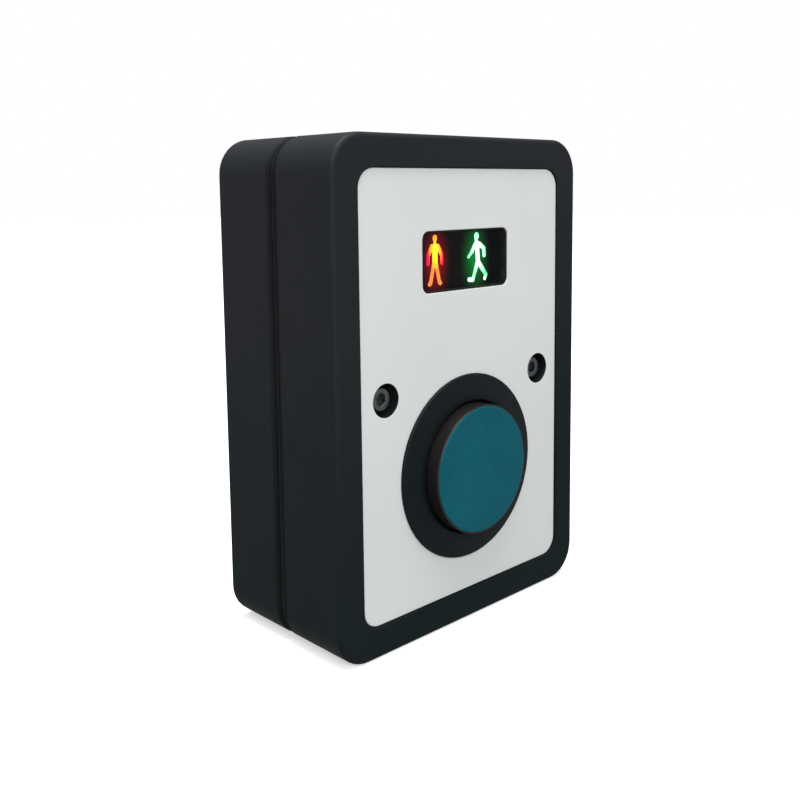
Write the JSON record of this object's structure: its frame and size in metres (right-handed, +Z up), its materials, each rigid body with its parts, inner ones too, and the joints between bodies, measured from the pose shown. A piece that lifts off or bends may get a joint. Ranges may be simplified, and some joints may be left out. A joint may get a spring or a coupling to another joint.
{
  "type": "pedestrian push button",
  "caption": "Wall-mounted crossing push button: dark two-part case, pale face plate, lit red and green figure display, round bezel with a spring-return plunger.",
  "frame": {"origin": "centre of the back face that lies against the wall", "axes": "+Z up, +Y out of the wall face into the wall, so the front faces -Y and +X is to the right seen from the front"},
  "size_m": [0.128, 0.071, 0.18],
  "materials": {
    "case_plastic": "fine-grained moulded plastic, charcoal, matt",
    "seal_rubber": "black moulded rubber",
    "plate_metal": "satin pale grey powder-coated aluminium",
    "screw_steel": "blackened steel, worn on the edges",
    "brass": "turned brass",
    "window_glass": "smoked glossy pane",
    "display_black": "black, matt",
    "red_light": "lit red diffuser",
    "green_light": "lit green diffuser",
    "board_green": "green solder mask",
    "bright_steel": "zinc-plated steel",
    "spring_steel": "drawn spring wire",
    "connector_nylon": "natural nylon",
    "bezel_plastic": "black glass-filled nylon, satin",
    "plunger_plastic": "black acetal, satin to glossy",
    "cap_teal": "teal, satin",
    "switch_plastic": "black thermoset",
    "switch_pin_red": "red acetal",
    "terminal_blue": "blue-grey polyamide",
    "relay_plastic": "dark blue-black polyester",
    "capacitor_sleeve": "dark blue sleeve",
    "chip_plastic": "black epoxy",
    "lead_grey": "grey PVC sheath",
    "lead_red": "dark red PVC sheath"
  },
  "bodies": {
    "housing": {"back_box": "case_plastic", "cover_gasket": "seal_rubber", "front_cover": "case_plastic", "face_plate": "plate_metal", "cover_screws": "screw_steel", "screw_seals": "seal_rubber", "threaded_inserts": "brass", "cable_grommet": "seal_rubber", "window_seal": "seal_rubber", "display_window": "window_glass", "display_mask": "display_black", "red_figure": "red_light", "green_figure": "green_light", "display_case": "display_black", "display_board": "board_green", "red_leds": "red_light", "green_leds": "green_light", "display_screws": "bright_steel", "display_socket": "connector_nylon", "button_bezel": "bezel_plastic", "bezel_gasket": "seal_rubber", "bezel_locknut": "bezel_plastic", "return_spring": "spring_steel", "switch_body": "switch_plastic", "switch_terminals": "brass", "lever_pin": "bright_steel", "switch_bracket": "bright_steel", "switch_screws": "bright_steel", "switch_nuts": "bright_steel", "bracket_screws": "bright_steel", "control_board": "board_green", "board_screws": "bright_steel", "terminal_block": "terminal_blue", "terminal_screws": "brass", "power_relay": "relay_plastic", "capacitors": "capacitor_sleeve", "control_chip": "chip_plastic", "board_socket": "connector_nylon", "display_lead": "lead_grey", "switch_lead": "lead_red"},
    "button": {"plunger": "plunger_plastic", "button_cap": "cap_teal", "plunger_seal": "seal_rubber", "retaining_clip": "bright_steel"},
    "switch_pin": {"switch_pin": "switch_pin_red"},
    "switch_lever": {"switch_lever": "bright_steel"}
  },
  "joints": [
    {"name": "button_press", "type": "slide", "parent": "housing", "child": "button", "axis": [0, 1, 0], "range_m": [0, 0.004], "stiffness_N_per_m": 1500, "springref_m": -0.004, "deforming": ["return_spring"]},
    {"name": "lever_swing", "type": "hinge", "parent": "housing", "child": "switch_lever", "pos_m": [0, -0.0306, -0.051], "axis": [-1, 0, 0], "range_deg": [0, 11.6]},
    {"name": "pin_slide", "type": "slide", "parent": "housing", "child": "switch_pin", "axis": [0, 1, 0], "range_m": [0, 0.00145]}
  ],
  "couplings": [
    {"joint": "lever_swing", "follows": "button_press", "rad_per_m": 50},
    {"joint": "pin_slide", "follows": "button_press", "ratio": 0.35}
  ]
}
